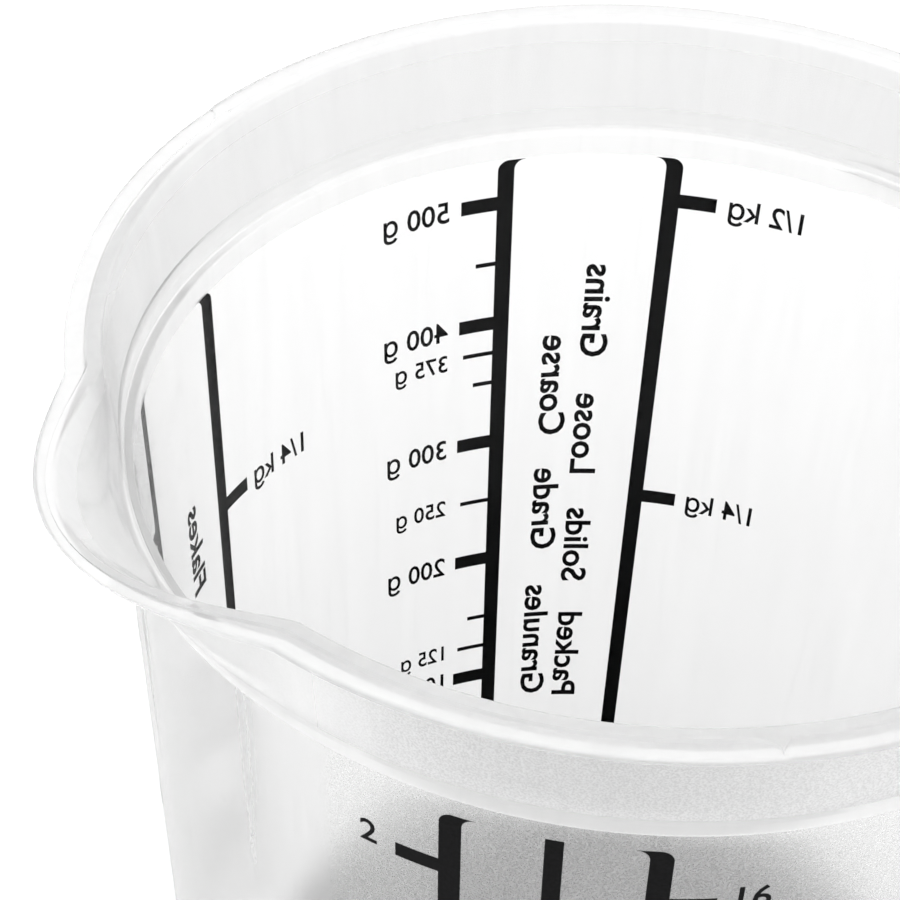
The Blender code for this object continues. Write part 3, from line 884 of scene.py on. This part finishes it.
def tick_words(words, height, amount, side, edge, rise):
    """Figures beside a tick, centred on its height or a little above, and set off from its end."""
    mesh = letter_print(words, height, DIGIT_WEIGHT, DIGIT_WIDTH_SHARE)
    width = max(vertex.co.x for vertex in mesh.vertices)
    start = edge if side > 0 else -edge - width
    mesh.transform(Matrix.Translation((start, filling_height(amount) + rise - height / 2, 0.0)))
    return mesh


def upright_words(words, across, foot):
    """A caption that reads upwards along the bar."""
    mesh = letter_print(words, CAPTION_HEIGHT, CAPTION_WEIGHT, CAPTION_WIDTH_SHARE)
    quarter_turn = Matrix.Rotation(math.pi / 2, 4, "Z")
    mesh.transform(Matrix.Translation((across, foot, 0.0)) @ quarter_turn)
    return mesh


def filling_height(volume):
    """Height that a volume, in cubic metres, fills the cup to."""
    cube = floor_radius ** 3 + 3 * WALL_SLOPE * volume / math.pi
    return FLOOR + (cube ** (1 / 3) - floor_radius) / WALL_SLOPE


def cut_in_strips(work):
    """Cut a flat print into upright strips, so that it bends round the wall."""
    low = min(vertex.co.x for vertex in work.verts)
    high = max(vertex.co.x for vertex in work.verts)
    for strip in range(1, int((high - low) / LETTER_FACET) + 1):
        everything = list(work.verts) + list(work.edges) + list(work.faces)
        cut = (low + strip * LETTER_FACET, 0.0, 0.0)
        bmesh.ops.bisect_plane(work, geom=everything, plane_co=cut, plane_no=(1.0, 0.0, 0.0))


def scale_print(name, turn, side, width, unit, rows, figures, captions,
                lean=0.0, rise=0.0, hooked=True):
    """One printed scale: its bar, its figures, its captions and its rows of ticks."""
    edge = width / 2 + MAIN_TICK[0] + DIGIT_GAP + rise / 2
    layers = [bar_print(bar_outline(width, side, hooked))]
    layers += [tick_words(words, size, amount * unit, side, edge, rise)
               for words, amount, size in figures]
    layers += [upright_words(words, across, foot) for words, across, foot in captions]
    work = bmesh.new()
    for layer in layers:
        work.from_mesh(layer)
        bpy.data.meshes.remove(layer)
    bmesh.ops.remove_doubles(work, verts=work.verts, dist=FILM / 20)
    cut_in_strips(work)
    flat = new_piece(name + "_flat", finished_mesh(work, name))
    for first, step, count, (length, thickness) in rows:
        with_nodes(flat, tick_rows, count=count, first_volume=first * unit, ink=ink,
                   volume_step=step * unit, bar_edge=width / 2, length=length, film=FILM,
                   thickness=thickness, side=side, floor_radius=floor_radius,
                   floor_height=FLOOR, slope=WALL_SLOPE)
    with_nodes(flat, wrap, turn=math.radians(turn), ink=ink,
               lean=math.radians(lean) / (print_middle - SCALE_FOOT),
               middle_height=print_middle, print_radius=print_radius,
               foot_radius=body_radius(0.0), slope=WALL_SLOPE)
    laid = new_piece(name + "_print", baked(flat))
    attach(laid, "root")
    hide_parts(name)


ink = ink_material()
tick_rows = tick_tree()
wrap = wrap_tree()
sugar = MILLILITRE / SUGAR_DENSITY
flour = MILLILITRE / FLOUR_DENSITY

scale_print("sugar_scale_grams", SUGAR_PANEL_ANGLE + DRY_BAR_SPREAD, 1, BAR_WIDTH, sugar,
            [(100, 100, 5, MAIN_TICK), (125, 125, 3, MIDDLE_TICK), (150, 1, 1, SHORT_TICK),
             (350, 100, 2, SHORT_TICK)],
            [(f"500 {GRAM}", 500, DIGIT_HEIGHT), (f"400 {GRAM}", 400, DIGIT_HEIGHT),
             (f"375 {GRAM}", 373, SMALL_DIGIT_HEIGHT), (f"300 {GRAM}", 300, DIGIT_HEIGHT),
             (f"250 {GRAM}", 250, SMALL_DIGIT_HEIGHT), (f"200 {GRAM}", 200, DIGIT_HEIGHT),
             (f"125 {GRAM}", 125, SMALL_DIGIT_HEIGHT), (f"100 {GRAM}", 100, DIGIT_HEIGHT)],
            [("Granules", -0.0043, 0.0174), ("Grade", -0.0046, 0.0396),
             ("Coarse", -0.0048, 0.0561)])
scale_print("sugar_scale_kilograms", SUGAR_PANEL_ANGLE - DRY_BAR_SPREAD, -1, BAR_WIDTH, sugar,
            [(250, 250, 2, MAIN_TICK)],
            [(f"1/2 k{GRAM}", 500, DIGIT_HEIGHT), (f"1/4 k{GRAM}", 250, DIGIT_HEIGHT)],
            [("Packed", 0.0075, 0.0170), ("Solids", 0.0076, 0.0347), ("Loose", 0.0077, 0.0505),
             ("Grains", 0.0078, 0.0667)], lean=KILOGRAM_BAR_LEAN)
scale_print("flour_scale_grams", FLOUR_PANEL_ANGLE + DRY_BAR_SPREAD, 1, BAR_WIDTH, flour,
            [(100, 100, 3, MAIN_TICK), (125, 1, 1, MIDDLE_TICK), (50, 100, 3, SHORT_TICK)],
            [(f"300 {GRAM}", 300, DIGIT_HEIGHT), (f"200 {GRAM}", 200, DIGIT_HEIGHT),
             (f"125 {GRAM}", 125, SMALL_DIGIT_HEIGHT), (f"100 {GRAM}", 100, DIGIT_HEIGHT)],
            [("Sifted", -0.0046, 0.0200), ("Ground", -0.0046, 0.0390)])
scale_print("flour_scale_kilograms", FLOUR_PANEL_ANGLE - DRY_BAR_SPREAD, -1, BAR_WIDTH, flour,
            [(250, 1, 1, MAIN_TICK)], [(f"1/4 k{GRAM}", 250, DIGIT_HEIGHT)],
            [("Fine", 0.0075, 0.0220), ("Powder", 0.0075, 0.0370), ("Flakes", 0.0075, 0.0592)],
            lean=KILOGRAM_BAR_LEAN)
scale_print("liquid_scale_cups", LIQUID_PANEL_ANGLE - LIQUID_BAR_SPREAD, -1, WIDE_BAR_WIDTH,
            CUP_VOLUME * MILLILITRE,
            [(1, 1, 2, MAIN_TICK), (0.25, 0.25, 3, SHORT_TICK), (1.25, 0.25, 3, SHORT_TICK)],
            [("2", 2, LARGE_DIGIT_HEIGHT), ("1 1/2", 1.5, LARGE_DIGIT_HEIGHT),
             ("1", 1, LARGE_DIGIT_HEIGHT), ("1/2", 0.5, LARGE_DIGIT_HEIGHT)],
            [], rise=LIQUID_DIGIT_RISE)
scale_print("liquid_scale_ounces", LIQUID_PANEL_ANGLE + LIQUID_BAR_SPREAD, 1, WIDE_BAR_WIDTH,
            OUNCE_VOLUME * MILLILITRE,
            [(4, 4, 4, MAIN_TICK), (2, 4, 4, SHORT_TICK)],
            [("16", 16, LARGE_DIGIT_HEIGHT), ("12", 12, LARGE_DIGIT_HEIGHT),
             ("8", 8, LARGE_DIGIT_HEIGHT), ("4", 4, LARGE_DIGIT_HEIGHT)],
            [], rise=LIQUID_DIGIT_RISE)
scale_print("liquid_centre_bar", LIQUID_PANEL_ANGLE, 1, CENTRE_BAR_WIDTH, MILLILITRE, [], [], [],
            hooked=False)


# The studio: a pale matt floor that glows a little, a white surround, and soft lamps above
# the camera and above the cup. A darker round patch is painted in the floor's material under
# the base, darkest in its middle, and stands for the shade under the cup.
CAMERA_PLACE = Vector((-0.12949, -0.17246, 0.27975))
CAMERA_AZIMUTH = 57.9
CAMERA_TILT = 41.06
CAMERA_ROLL = 2.727
CAMERA_LENS = 122.23
CAMERA_SENSOR = 36.0
FLOOR_HALF = 2.0
FLOOR_SET_DOWN = 0.00002
FLOOR_ROUGHNESS = 0.9
FLOOR_GLOW = 0.16
FLOOR_PALE = (0.85, 0.85, 0.85, 1.0)
FLOOR_DIM = (0.58, 0.58, 0.58, 1.0)
FLOOR_DARK = (0.28, 0.28, 0.28, 1.0)
SHADE_CENTRE = (0.0075, 0.0113, 0.0)
SHADE_RIM = 0.0352
SHADE_RADIUS = 0.0378
CORE_CENTRE = (0.0130, 0.0120, 0.0)
CORE_RIM = 0.0200
CORE_RADIUS = 0.0270

camera_data = bpy.data.cameras.new("camera")
camera_data.lens = CAMERA_LENS
camera_data.sensor_width = CAMERA_SENSOR
camera = bpy.data.objects.new("camera", camera_data)
bpy.context.scene.collection.objects.link(camera)
facing = Matrix.Rotation(math.radians(CAMERA_AZIMUTH - 90.0), 4, "Z")
tilt = Matrix.Rotation(math.radians(90.0 - CAMERA_TILT), 4, "X")
roll = Matrix.Rotation(math.radians(CAMERA_ROLL), 4, "Z")
camera.matrix_world = Matrix.Translation(CAMERA_PLACE) @ facing @ tilt @ roll
bpy.context.scene.camera = camera


def clear_of(tree, centre, rim, radius):
    """A mask that is 0 inside a round patch and 1 outside it."""
    apart = add_node(tree, "ShaderNodeVectorMath", [(0, object_place(tree)), (1, centre)],
                     operation="DISTANCE")
    return span(tree, apart.outputs["Value"], rim, radius, smooth=True)


def floor_material():
    """A pale matt floor with the painted patch of shade where the cup stands."""
    mat, tree, shader = new_material("pale_floor")
    shader.inputs["Roughness"].default_value = FLOOR_ROUGHNESS
    shader.inputs["Specular IOR Level"].default_value = 0.0
    shader.inputs["Emission Color"].default_value = WHITE
    clear_of_cup = clear_of(tree, SHADE_CENTRE, SHADE_RIM, SHADE_RADIUS)
    clear_of_core = clear_of(tree, CORE_CENTRE, CORE_RIM, CORE_RADIUS)
    under_cup = blend(tree, clear_of_core, FLOOR_DARK, FLOOR_DIM)
    glow = maths(tree, "MULTIPLY", clear_of_cup, FLOOR_GLOW)
    tree.links.new(blend(tree, clear_of_cup, under_cup, FLOOR_PALE), shader.inputs["Base Color"])
    tree.links.new(glow, shader.inputs["Emission Strength"])
    return mat


corners = [(-FLOOR_HALF, -FLOOR_HALF, 0.0), (FLOOR_HALF, -FLOOR_HALF, 0.0),
           (FLOOR_HALF, FLOOR_HALF, 0.0), (-FLOOR_HALF, FLOOR_HALF, 0.0)]
floor_mesh = bpy.data.meshes.new("floor")
floor_mesh.from_pydata(corners, [], [(0, 1, 2, 3)])
floor_mesh.materials.append(floor_material())
floor = new_piece("floor", floor_mesh)
floor.location.z = -FLOOR_SET_DOWN

world = bpy.data.worlds.new("studio")
bpy.context.scene.world = world
world.use_nodes = True
world.node_tree.nodes["Background"].inputs["Color"].default_value = WHITE


def softbox(name, turn, rise, distance, size, power):
    """A square lamp that faces the cup from a direction."""
    data = bpy.data.lights.new(name, "AREA")
    data.size = size
    data.energy = power
    lamp = bpy.data.objects.new(name, data)
    bpy.context.scene.collection.objects.link(lamp)
    level = math.cos(math.radians(rise)) * distance
    around = math.radians(turn)
    place = Vector((level * math.cos(around), level * math.sin(around),
                    math.sin(math.radians(rise)) * distance))
    lamp.location = place
    lamp.rotation_euler = place.to_track_quat("Z", "Y").to_euler()
    lamp.visible_transmission = False


softbox("softbox_above_camera", turn=CAMERA_AZIMUTH + 180.0, rise=58.0, distance=1.2, size=0.5,
        power=2.0)
softbox("softbox_overhead", turn=CAMERA_AZIMUTH + 20.0, rise=70.0, distance=1.2, size=0.6,
        power=1.5)
bpy.context.scene.view_settings.view_transform = "Standard"
